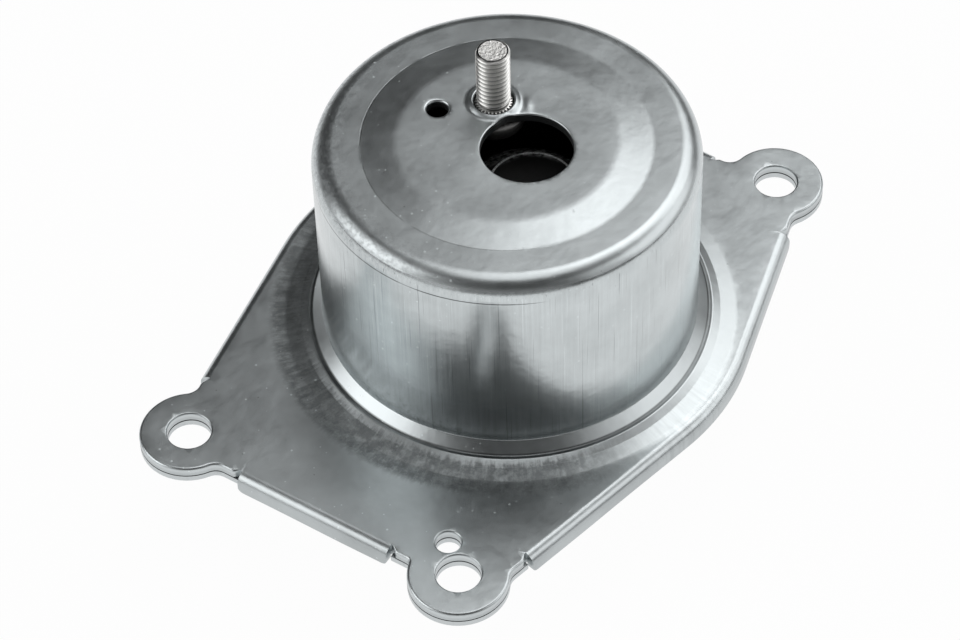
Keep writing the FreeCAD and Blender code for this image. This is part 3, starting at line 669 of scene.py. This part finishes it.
def sheet_top(sheet):
    """Middle disc of the can's top with the vent, the small hole and the stud's boss."""
    stud = place(*STUD)
    holes = [tuple(place(*hole[:2])) + (hole[2],) for hole in (VENT, SMALL_HOLE, (*STUD, BOSS_HOLE))]
    rim = circle((0, 0), CENTRE_DISC, TURNS)
    top_rings, low_rings = [], []
    for (x, y, radius), soft, count in zip(holes, TOP_HOLE_ROUND, TOP_HOLE_POINTS):
        ring = circle((x, y), radius + soft, count)
        high = PLATEAU_TOP + boss_height(ring)
        low = PLATEAU_TOP - SHEET + boss_height(ring)
        reach = hole_lining(sheet, x, y, radius, count, high, low, soft, TOP_TEAR)
        top_rings.append(ring)
        low_rings.append(circle((x, y), reach, count))
    mound = np.concatenate(
        [circle(stud, BOSS_HOLE + 0.4 + FINE_STEP * number, 84) for number in range(1, 11)])
    clear = BOSS_RADIUS + BOSS_FOOT + 1.2
    pucker = lattice(3.4, FINE_STEP) + np.array(PUCKER)
    pucker = pucker[away_from(pucker, stud[None], clear)]
    plain = lattice(26, TOP_STEP)
    plain = plain[away_from(plain, stud[None], clear)]
    plain = plain[away_from(plain, pucker, 0.5)]
    loose = np.concatenate([mound, pucker, plain])
    keep = np.linalg.norm(loose, axis=1) < CENTRE_DISC - 0.3
    for (x, y, radius), soft in zip(holes, TOP_HOLE_ROUND):
        keep &= np.hypot(loose[:, 0] - x, loose[:, 1] - y) > radius + soft + 0.25
    points, triangles, origin = filled([rim] + top_rings, loose[keep])
    rise = boss_height(points)
    sheet.add(lifted(points, PLATEAU_TOP + rise), triangles)
    under = np.concatenate([rim] + low_rings + [loose[keep]])[origin]
    sheet.add(lifted(under, PLATEAU_TOP - SHEET + rise), triangles[:, ::-1])


def housing_piece():
    """The can with its flange as one closed sheet."""
    sheet = Mesh()
    sheet.grid(turned(can_profile()), around=True)
    sheet.grid(turned(inner_profile()), around=True)
    sheet_flange(sheet)
    sheet_top(sheet)
    return sheet.piece("can_sheet", sharp=34.0)


def thread_radius(phase):
    """Radius of the rolled thread at a phase 0..1 of its pitch, with a rounded crest and root.

    Half straight flanks between a flat crest and root, half a cosine wave.
    """
    wave = 2 * np.abs(phase - 0.5)
    flank = np.clip((wave - 0.18) / 0.64, 0, 1)
    return STUD_RADIUS - THREAD_DEPTH * (0.5 * flank + 0.25 * (1 - np.cos(math.pi * wave)))


def stud_piece():
    """Stud with a rolled right-hand thread, a toothed collar and its head inside the can.

    The shank is a sheared grid: height = start + pitch * (turn + row / rows per pitch), so each
    row keeps its phase of the thread. Heights are clamped to the shank, and the radius is capped
    by the tip's chamfer cone and faded to the minor radius at the collar.
    """
    mesh = Mesh()
    centre = place(*STUD)
    low, high = COLLAR_TOP - 0.35, STUD_TIP
    around, rows = 96, 14
    pitches = int((high - low) / THREAD_PITCH) + 3
    turn = np.linspace(0, 1, around + 1)
    row = np.arange(pitches * rows + 1) / rows
    height = low - THREAD_PITCH + THREAD_PITCH * (turn[None] + row[:, None])
    radius = np.broadcast_to(thread_radius(row % 1)[:, None], height.shape)
    clamped = np.clip(height, low, high)
    chamfer = TIP_RADIUS + (high - clamped)
    radius = np.minimum(radius, chamfer)
    run_out = smooth((clamped - low) / THREAD_RUN_OUT)
    radius = (STUD_RADIUS - THREAD_DEPTH * 0.85) * (1 - run_out) + radius * run_out
    mesh.grid(swept(centre, radius, 2 * math.pi * turn, clamped))
    dish = np.array([[TIP_RADIUS, high], [2.4, high], [1.2, high - 0.03], [0.001, high - 0.05]])
    mesh.grid(turned(dish, around, centre), around=True)
    t = full_turn(TEETH * 8)
    tooth = TOOTH_DEPTH * np.clip(np.cos(TEETH * t) * 1.6, -1, 1)
    # Collar and head: radius, height, share of the teeth
    steps = np.array([
        (3.2, low, 0), (3.55, low - 0.02, 0), (STUD_COLLAR - 0.42, low - 0.12, 0.7),
        (STUD_COLLAR - 0.30, low - 0.35, 1), (STUD_COLLAR - 0.30, STUD_HEAD_TOP + 0.3, 1),
        (STUD_COLLAR, STUD_HEAD_TOP - 0.25, 0), (STUD_HEAD_RADIUS - 0.3, STUD_HEAD_TOP - 0.25, 0),
        (STUD_HEAD_RADIUS, STUD_HEAD_TOP - 0.55, 0), (STUD_HEAD_RADIUS, STUD_HEAD_LOW + 0.6, 0),
        (STUD_HEAD_RADIUS - 0.2, STUD_HEAD_LOW + 0.2, 0), (STUD_HEAD_RADIUS - 0.6, STUD_HEAD_LOW, 0),
        (0.001, STUD_HEAD_LOW, 0)])
    reach = steps[:, :1] + steps[:, 2:] * tooth
    mesh.grid(swept(centre, reach, t, steps[:, 1:2]), around=True)
    return mesh.piece("threaded_stud", sharp=50.0, weighted=False)


class Socket:
    """A shader value with Python's operators, each of which adds one Math node."""

    def __init__(self, paint, link):
        self.paint, self.link = paint, link

    def _math(self, kind, *values):
        return self.paint.node("ShaderNodeMath", {"operation": kind}, dict(enumerate(values)))

    def __add__(self, other):
        return self._math("ADD", self, other)

    def __sub__(self, other):
        return self._math("SUBTRACT", self, other)

    def __mul__(self, other):
        return self._math("MULTIPLY", self, other)

    def __truediv__(self, other):
        return self._math("DIVIDE", self, other)

    def __pow__(self, other):
        return self._math("POWER", self, other)

    def __radd__(self, other):
        return self._math("ADD", other, self)

    def __rsub__(self, other):
        return self._math("SUBTRACT", other, self)

    def __rmul__(self, other):
        return self._math("MULTIPLY", other, self)

    def least(self, other):
        """The smaller of both values."""
        return self._math("MINIMUM", self, other)

    def most(self, other):
        """The larger of both values."""
        return self._math("MAXIMUM", self, other)

    def swing(self, amount):
        """How far a pattern is above or below its middle of 0.5, times an amount."""
        return (self - 0.5) * amount

    def above(self, low, high):
        """Smooth 0..1 rise of the value from low to high."""
        return self.paint.node("ShaderNodeMapRange", {"interpolation_type": "SMOOTHSTEP"},
                               {"Value": self, "From Min": low, "From Max": high})

    def between(self, low, high, soft):
        """1 between two values, falling smoothly to 0 over the soft width outside them."""
        return self.above(low - soft, low) * (1 - self.above(high, high + soft))


class Tree:
    """One material with its node tree and its surface shader."""

    def __init__(self, name):
        self.material = bpy.data.materials.new(name)
        self.material.use_nodes = True
        self.tree = self.material.node_tree
        self.shader = self.tree.nodes["Principled BSDF"]

    def feed(self, target, value):
        """Links a value to an input or sets it; a colour is given without its alpha."""
        if isinstance(value, Socket):
            self.tree.links.new(value.link, target)
        elif target.type == "RGBA":
            target.default_value = (*value, 1.0)
        else:
            target.default_value = value

    def node(self, kind, settings, values, output=0):
        """Adds a node, sets its settings, then feeds its inputs.

        Returns the output that is named, or a list of them for a tuple of names.
        """
        made = self.tree.nodes.new(kind)
        for name, value in settings.items():
            setattr(made, name, value)
        for name, value in values.items():
            self.feed(made.inputs[name], value)
        if isinstance(output, tuple):
            return [Socket(self, made.outputs[name]) for name in output]
        return Socket(self, made.outputs[output])

    def finish(self, colour, roughness, metallic, normal=None):
        """Feeds the main inputs of the surface shader and returns the material."""
        values = {"Base Color": colour, "Roughness": roughness, "Metallic": metallic}
        if normal is not None:
            values["Normal"] = normal
        for name, value in values.items():
            self.feed(self.shader.inputs[name], value)
        return self.material


class Paint(Tree):
    """A material that knows its place on the part in millimetres, with patterns over it."""

    def __init__(self, name):
        super().__init__(name)
        where = self.node("ShaderNodeTexCoord", {}, {}, "Object")
        self.spot = self.node("ShaderNodeVectorMath", {"operation": "SCALE"}, {0: where, "Scale": 1 / MM})
        self.x, self.y, self.z = self.node(
            "ShaderNodeSeparateXYZ", {}, {"Vector": self.spot}, (0, 1, 2))
        self.radius = (self.x * self.x + self.y * self.y) ** 0.5

    def vector(self, kind, first, second):
        """One Vector Math node."""
        return self.node("ShaderNodeVectorMath", {"operation": kind}, {0: first, 1: second})

    def joined(self, x, y, z):
        """Vector from three values."""
        return self.node("ShaderNodeCombineXYZ", {}, {0: x, 1: y, 2: z})

    def far_from(self, centre):
        """Distance from an upright axis through a point of the plan."""
        x, y = self.x - float(centre[0]), self.y - float(centre[1])
        return (x ** 2.0 + y ** 2.0) ** 0.5

    def noise(self, scale, detail, rough, at=None, stretch=(1, 1, 1), shift=0.0):
        """Cloudy pattern 0..1 with features of about 1 / scale millimetres."""
        at = self.spot if at is None else at
        at = self.vector("MULTIPLY", at, stretch)
        if shift:
            at = self.vector("ADD", at, (shift, shift * 1.7, shift * 0.6))
        return self.node("ShaderNodeTexNoise", {}, {"Vector": at, "Scale": scale, "Detail": detail,
                                                    "Roughness": rough})

    def specks(self, scale, size, share, shift=0.0):
        """Small round dots: cells of a Voronoi pattern, only a share of them filled."""
        at = self.vector("ADD", self.spot, (shift, shift * 1.3, shift * 0.7))
        distance, colour = self.node(
            "ShaderNodeTexVoronoi", {}, {"Vector": at, "Scale": scale}, ("Distance", "Color"))
        draw = self.node("ShaderNodeSeparateXYZ", {}, {"Vector": colour})
        chosen = 1 - draw.above(share * 0.9, share)
        near = 1 - distance.above(size * 0.5, size)
        return near * chosen

    def tinted(self, tone, colour):
        """A colour at a tone between 0, which is black, and 1."""
        return self.node("ShaderNodeMix", {"data_type": "RGBA"}, {0: tone, 6: BLACK, 7: colour}, 2)

    def bumped(self, height, depth):
        """Normal from a height in 0..1 that stands for the given depth in millimetres."""
        return self.node("ShaderNodeBump", {}, {"Height": height, "Distance": depth * MM,
                                                "Strength": 1.0})


# Finishes: limits are places on the part in millimetres or levels of a pattern, factors are
# shares of tone, roughness or height
def zinc_steel():
    """Bright zinc-coated deep-drawn sheet: draw streaks, a die line, scuffs, smudges and dust, and
    painted shade in the ring's crease, the foot's groove, the rims below the flange's top and inside the
    can.
    """
    paint = Paint("zinc_steel_finish")
    x, y, z, radius = paint.x, paint.y, paint.z, paint.radius
    wall = radius.between(44.3, 45.4, 0.3) * z.above(30.8, 31.4)
    left = 1 - x.above(-36, -2)
    # Painted shade: the can's inner wall and the underside of its top, with the lower hole walls there,
    # darker by 0.6; they are also rougher
    inside = (1 - z.above(82.7, 83.5)) * (1 - radius.above(42.2, 42.8)) * z.above(40, 41)
    inside = inside.most((1 - z.above(83.7, 84.35)) * (1 - radius.above(22.0, 23.2)) * z.above(80, 81))
    cloud = paint.noise(0.055, 4.0, 0.5)
    patch = paint.noise(0.16, 3.0, 0.5, shift=40)
    grain = paint.noise(0.5, 1.0, 0.5, shift=9)
    smear = paint.noise(0.42, 5.0, 0.72, shift=71)
    streak = paint.noise(1.25, 3.0, 0.6, stretch=(1, 1, 0.022))
    line = paint.noise(2.9, 1.0, 0.5, stretch=(1, 1, 0.010), shift=17)
    dark_line = line.above(0.685, 0.73) * wall
    light_line = (1 - line.above(0.285, 0.32)) * wall
    spread = paint.joined(x / radius * 58, y / radius * 58, radius * 0.10)
    spokes = paint.noise(1.0, 3.0, 0.6, at=spread)
    edge = radius + smear.swing(3.5) + spokes.swing(3.0)
    foot = edge.between(50.8, 57.0, 2.0) * (1 - z.above(29.2, 30))
    scuff = foot * (1 - x.above(8, 36)) * (smear * 0.6 + spokes * 0.4).above(0.30, 0.60)
    brushed = foot * (1 - y.above(-34, -16)) * (spokes - 0.5)
    corner = radius.between(38.5, 46, 1.5) * z.above(79.0, 81.5) * left
    worn = corner * paint.noise(0.9, 4.0, 0.7, shift=47).above(0.42, 0.66)
    die_line = z.between(78.38, 78.54, 0.10) * wall * (1 - x.above(1, 9))
    die_line = die_line * (0.4 + 0.6 * patch.above(0.35, 0.5))
    smudge = z.between(32.0, 36.5, 1.5) * wall * x.between(-36, -14, 5)
    smudge = smudge * paint.noise(0.8, 4.0, 0.7, shift=91).above(0.56, 0.63)
    # Painted shade: a broken thin dark line in the crease at the ring's outer edge, on the left side; it
    # also dents the bump height
    ring_crease_shade = radius.between(33.55, 33.8, 0.12) * z.above(80, 81)
    ring_crease_shade = ring_crease_shade * (1 - x.above(-8, 14)) * patch.above(0.4, 0.5)
    dust = (paint.specks(0.36, 0.13, 0.32) + paint.specks(0.62, 0.15, 0.14, 31)).least(1.0)
    dots = paint.specks(0.30, 0.075, 0.10, 67)
    tone = 0.60 + cloud.swing(0.22) + patch.swing(0.10) + grain.swing(0.04)
    tone = tone + wall * (streak - 0.5) * (0.21 - 0.12 * x.above(8, 34))
    tone = tone - dark_line * 0.18 + light_line * 0.08 + brushed * 0.30
    # Painted shade: the sheet below the flange's top and out from the can's slope, the turned-down rims
    # and the underside, darker by 0.10
    painted_skirt_shade = (1 - z.above(25.0, 26.2)) * radius.above(54, 56)
    # Painted shade: a dark line along the bottom of the hollow in the can's foot, darker by 0.36
    painted_groove_shade = radius.between(47.55, 48.35, 0.30) * z.between(28.2, 29.2, 0.2)
    tone = tone - painted_skirt_shade * 0.10 - painted_groove_shade * 0.36 - scuff * 0.34 - worn * 0.14
    tone = tone - die_line * 0.50 - smudge * 0.16 - ring_crease_shade * 0.10
    # Painted shade darkens the inside of the can by 0.6
    tone = (tone - dots * 0.20 + dust * (0.08 + 0.20 * left)) * (1 - inside * 0.6)
    colour = paint.tinted(tone, (0.925, 0.985, 1.0))
    roughness = 0.32 + cloud.swing(0.10) + patch.swing(0.08) + grain.swing(0.06)
    roughness = (roughness + (scuff + worn + inside) * 0.12 + dust * 0.2).most(ROUGH_ABOVE)
    roughness = roughness * (1 - wall)
    roughness = roughness + wall * (0.235 + streak.swing(0.10)).least(ROUGH_BELOW)
    height = grain * 0.4 + patch * 1.6 + cloud * 4.0 + wall * (streak * 0.25 + light_line * 0.15)
    height = height - scuff * 0.3 - worn * 0.15 - (die_line + ring_crease_shade) * 0.5
    return paint.finish(colour, roughness, 1.0, paint.bumped(height, 0.035))


def plate_steel():
    """Zinc-coated sheet of the lower flange plate, a little duller than the can."""
    paint = Paint("plate_steel_finish")
    cloud = paint.noise(0.07, 4.0, 0.5, shift=5)
    grain = paint.noise(1.3, 3.0, 0.6, shift=21)
    rub = paint.noise(0.35, 4.0, 0.7, stretch=(1, 0.25, 1), shift=33)
    tone = 0.60 + cloud.swing(0.12) + grain.swing(0.08) - rub.above(0.55, 0.72) * 0.08
    colour = paint.tinted(tone, (0.935, 0.985, 1.0))
    roughness = 0.36 + grain.swing(0.16) + cloud.swing(0.10)
    return paint.finish(colour, roughness, 1.0, paint.bumped(grain * 0.5 + cloud * 2.0, 0.03))


def stud_steel():
    """Zinc-coated rolled thread: bright crests, roots darkened as painted shade, coarse sheared tip, and
    the head inside the can rougher and darkened as painted shade.
    """
    paint = Paint("stud_steel_finish")
    far = paint.far_from(place(*STUD))
    grain = paint.noise(1.8, 3.0, 0.65, shift=12)
    chips = paint.noise(1.3, 3.0, 0.65, shift=3)
    tip = paint.z.above(101.05, 101.2)
    # Painted shade: the thread's roots darker by 0.62, away from the tip
    root = (1 - far.above(3.30, 3.85)) * (1 - tip)
    # Painted shade: the stud's head and collar inside the can darker by 0.85; they are also rougher
    head = 1 - paint.z.above(82.0, 85.0)
    tone = 0.88 + grain.swing(0.10) - root * 0.62 + tip * (chips - 0.5) * 0.70
    tone = tone * (1 - head * 0.85)
    colour = paint.tinted(tone, (1.0, 0.995, 0.97))
    roughness = 0.31 + grain.swing(0.06) + tip * 0.08 + head * 0.20
    return paint.finish(colour, roughness, 1.0, paint.bumped(grain * 0.25 + tip * chips * 7.0, 0.04))


def bare_steel(name, tone_level, roughness_level):
    """Plain cold-rolled steel with turning marks and light stains."""
    paint = Paint(name + "_finish")
    cloud = paint.noise(0.09, 4.0, 0.55, shift=len(name))
    grain = paint.noise(1.6, 3.0, 0.6, shift=2 * len(name))
    rings = paint.noise(1.4, 2.0, 0.5, at=paint.joined(paint.radius, paint.radius, paint.z))
    tone = tone_level + cloud.swing(0.16) + grain.swing(0.08) + rings.swing(0.06)
    roughness = roughness_level + grain.swing(0.14) + rings.swing(0.10)
    shade = paint.tinted(tone, (0.97, 0.985, 1.0))
    normal = paint.bumped(grain * 0.5 + rings * 0.6, 0.02)
    return paint.finish(shade, roughness.most(ROUGH_ABOVE), 1.0, normal)


def cast_aluminium(name):
    """Die-cast aluminium: fine orange-peel skin, grey clouds and a machined seat face."""
    paint = Paint(name + "_finish")
    cloud = paint.noise(0.12, 4.0, 0.6, shift=14)
    skin = paint.noise(1.1, 3.0, 0.6, shift=50)
    fine = paint.noise(4.0, 1.0, 0.5, shift=8)
    seat = 1 - paint.z.above(0.02, 0.10)
    rings = paint.noise(2.6, 1.0, 0.5, at=paint.joined(paint.radius, 0.0, 0.0))
    tone = 0.60 + cloud.swing(0.20) + skin.swing(0.10) + seat * (rings.swing(0.20) + 0.08)
    roughness = 0.46 + skin.swing(0.20) - seat * 0.16 + cloud.swing(0.10)
    height = (skin * 1.2 + fine * 0.4) * (1 - seat) + seat * rings * 0.8
    shade = paint.tinted(tone, (0.985, 0.99, 1.0))
    return paint.finish(shade, roughness, 1.0, paint.bumped(height, 0.06))


def moulded_rubber(name, tone_level=0.022):
    """Black moulded rubber: dull skin with fine grain, bloom and dust."""
    paint = Paint(name + "_finish")
    bloom = paint.noise(0.10, 4.0, 0.6, shift=len(name) * 3)
    grain = paint.noise(2.2, 3.0, 0.6, shift=60)
    dust = paint.specks(0.8, 0.10, 0.16, 5)
    tone = tone_level + bloom.swing(0.012) + grain.swing(0.008) + dust * 0.05
    shade = paint.tinted(tone, WHITE)
    roughness = 0.52 + grain.swing(0.18) + bloom.swing(0.16)
    return paint.finish(shade, roughness, 0.0, paint.bumped(grain + bloom * 1.5, 0.05))


def diaphragm_rubber():
    """Black diaphragm with grey dust along the edge of its raised middle and behind it."""
    paint = Paint("diaphragm_rubber_finish")
    far = paint.far_from(place(*DIAPHRAGM_MIDDLE))
    clumps = paint.noise(0.7, 5.0, 0.75, shift=25)
    fine = paint.noise(2.6, 3.0, 0.7, shift=4)
    edge = far.between(9.85, 10.25, 0.22) * paint.z.above(72.0, 72.6)
    slope = far.between(10.3, 14.5, 2.0) * paint.z.above(62.0, 70.0) * paint.y.above(2, 8)
    dust = edge * (0.25 + fine.above(0.35, 0.60) * 0.75) + slope * clumps.above(0.38, 0.66) * 1.1
    shade = paint.tinted(0.002 + fine * 0.003 + dust * 0.60, (0.97, 1.0, 1.0))
    roughness = 0.55 + fine.swing(0.2) + dust.least(1.0) * 0.3
    paint.shader.inputs["Specular IOR Level"].default_value = 0.2
    return paint.finish(shade, roughness, 0.0, paint.bumped(fine + clumps, 0.05))


def finishes():
    """Every finish by the CAD node that wears it."""
    return {
        "lower_flange_plate": plate_steel(),
        "spring_outer_ring": bare_steel("ring_steel", 0.50, 0.40),
        "main_rubber_spring": moulded_rubber("spring_rubber"),
        "core": cast_aluminium("core_aluminium"),
        "core_thread_bush": bare_steel("bush_steel", 0.48, 0.32),
        "fill_ball": bare_steel("ball_steel", 0.60, 0.20),
        "travel_limit_plate": bare_steel("limit_steel", 0.50, 0.36),
        "travel_limit_buffer": moulded_rubber("buffer_rubber"),
        "limit_plate_rivet": bare_steel("rivet_steel", 0.52, 0.34),
        "chamber_seal_ring": moulded_rubber("seal_rubber", 0.016),
        "lower_channel_plate": cast_aluminium("channel_aluminium"),
        "decoupler_membrane": moulded_rubber("membrane_rubber", 0.026),
        "upper_channel_plate": cast_aluminium("channel_casting"),
        "channel_plate_rivets": bare_steel("channel_rivet_steel", 0.55, 0.30),
        "rolling_diaphragm": diaphragm_rubber(),
        "diaphragm_rim_ring": bare_steel("rim_steel", 0.46, 0.36),
        "spacer_sleeve": bare_steel("sleeve_steel", 0.44, 0.34),
    }


def floor_finish():
    """Pale floor that the camera and glossy rays see as white, with the object's shadow kept."""
    floor = Tree("pale_floor")
    seen, through, mirrored = floor.node(
        "ShaderNodeLightPath", {}, {}, ("Is Camera Ray", "Is Transmission Ray", "Is Glossy Ray"))
    share = seen.most(through).most(mirrored) * FLOOR_GLOW
    glow = floor.node("ShaderNodeEmission", {}, {"Color": WHITE, "Strength": 1.0})
    surface = Socket(floor, floor.shader.outputs[0])
    blend = floor.node("ShaderNodeMixShader", {}, {0: share, 1: surface, 2: glow})
    floor.feed(floor.tree.nodes["Material Output"].inputs["Surface"], blend)
    return floor.finish(FLOOR_GREY, 0.8, 0.0)


def studio():
    """Floor, world and soft lamps."""
    mesh = bpy.data.meshes.new("floor")
    signs = ((-1, -1), (1, -1), (1, 1), (-1, 1))
    corners = [(x * FLOOR_HALF, y * FLOOR_HALF, FLOOR_LEVEL) for x, y in signs]
    mesh.from_pydata(corners, [], [(0, 1, 2, 3)])
    floor = bpy.data.objects.new("floor", mesh)
    bpy.context.collection.objects.link(floor)
    mesh.materials.append(floor_finish())
    world = bpy.data.worlds.new("studio_world")
    bpy.context.scene.world = world
    world.use_nodes = True
    backdrop = world.node_tree.nodes["Background"]
    backdrop.inputs["Color"].default_value = (*WHITE, 1.0)
    backdrop.inputs["Strength"].default_value = WORLD_LEVEL
    for name, azimuth, elevation, wide, tall, level in LAMPS:
        light = bpy.data.lights.new(name, "AREA")
        light.shape = "RECTANGLE"
        light.size, light.size_y = wide, tall
        light.energy = level * math.pi * wide * tall
        lamp = bpy.data.objects.new(name, light)
        bpy.context.collection.objects.link(lamp)
        flat = math.cos(math.radians(elevation)) * direction(azimuth)
        way = Vector((flat[0], flat[1], math.sin(math.radians(elevation))))
        lamp.location = Vector(LAMP_AIM) + way * LAMP_DISTANCE
        lamp.rotation_euler = way.to_track_quat("Z", "Y").to_euler()


def camera():
    """Camera at the photograph's viewing angle and distance."""
    data = bpy.data.cameras.new("camera")
    data.sensor_width = SENSOR_WIDTH
    data.lens = LENS
    data.clip_start, data.clip_end = CLIP
    right, up = Vector(CAMERA_RIGHT), Vector(CAMERA_UP)
    turn = Matrix((right, up, right.cross(up))).transposed().to_4x4()
    holder = bpy.data.objects.new("camera", data)
    bpy.context.collection.objects.link(holder)
    holder.matrix_world = Matrix.Translation(Vector(CAMERA_PLACE) * MM) @ turn
    bpy.context.scene.camera = holder


def dressed(piece, node, material):
    """Puts a finish on a new piece, hangs it on the root body and hides its CAD node."""
    piece.data.materials.clear()
    piece.data.materials.append(material)
    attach(piece, "root")
    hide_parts(node)


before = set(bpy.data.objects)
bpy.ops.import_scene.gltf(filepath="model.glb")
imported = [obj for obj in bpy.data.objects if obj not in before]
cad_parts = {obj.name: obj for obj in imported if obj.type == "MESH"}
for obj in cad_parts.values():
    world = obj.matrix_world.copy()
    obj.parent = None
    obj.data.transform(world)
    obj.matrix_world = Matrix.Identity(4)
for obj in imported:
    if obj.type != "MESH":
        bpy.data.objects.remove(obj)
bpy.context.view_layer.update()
camera()
studio()
dressed(housing_piece(), "housing_can", zinc_steel())
dressed(stud_piece(), "can_stud", stud_steel())
for node, material in finishes().items():
    for slot_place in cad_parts[node].material_slots:
        slot_place.material = material
bpy.context.scene.view_settings.view_transform = "Standard"
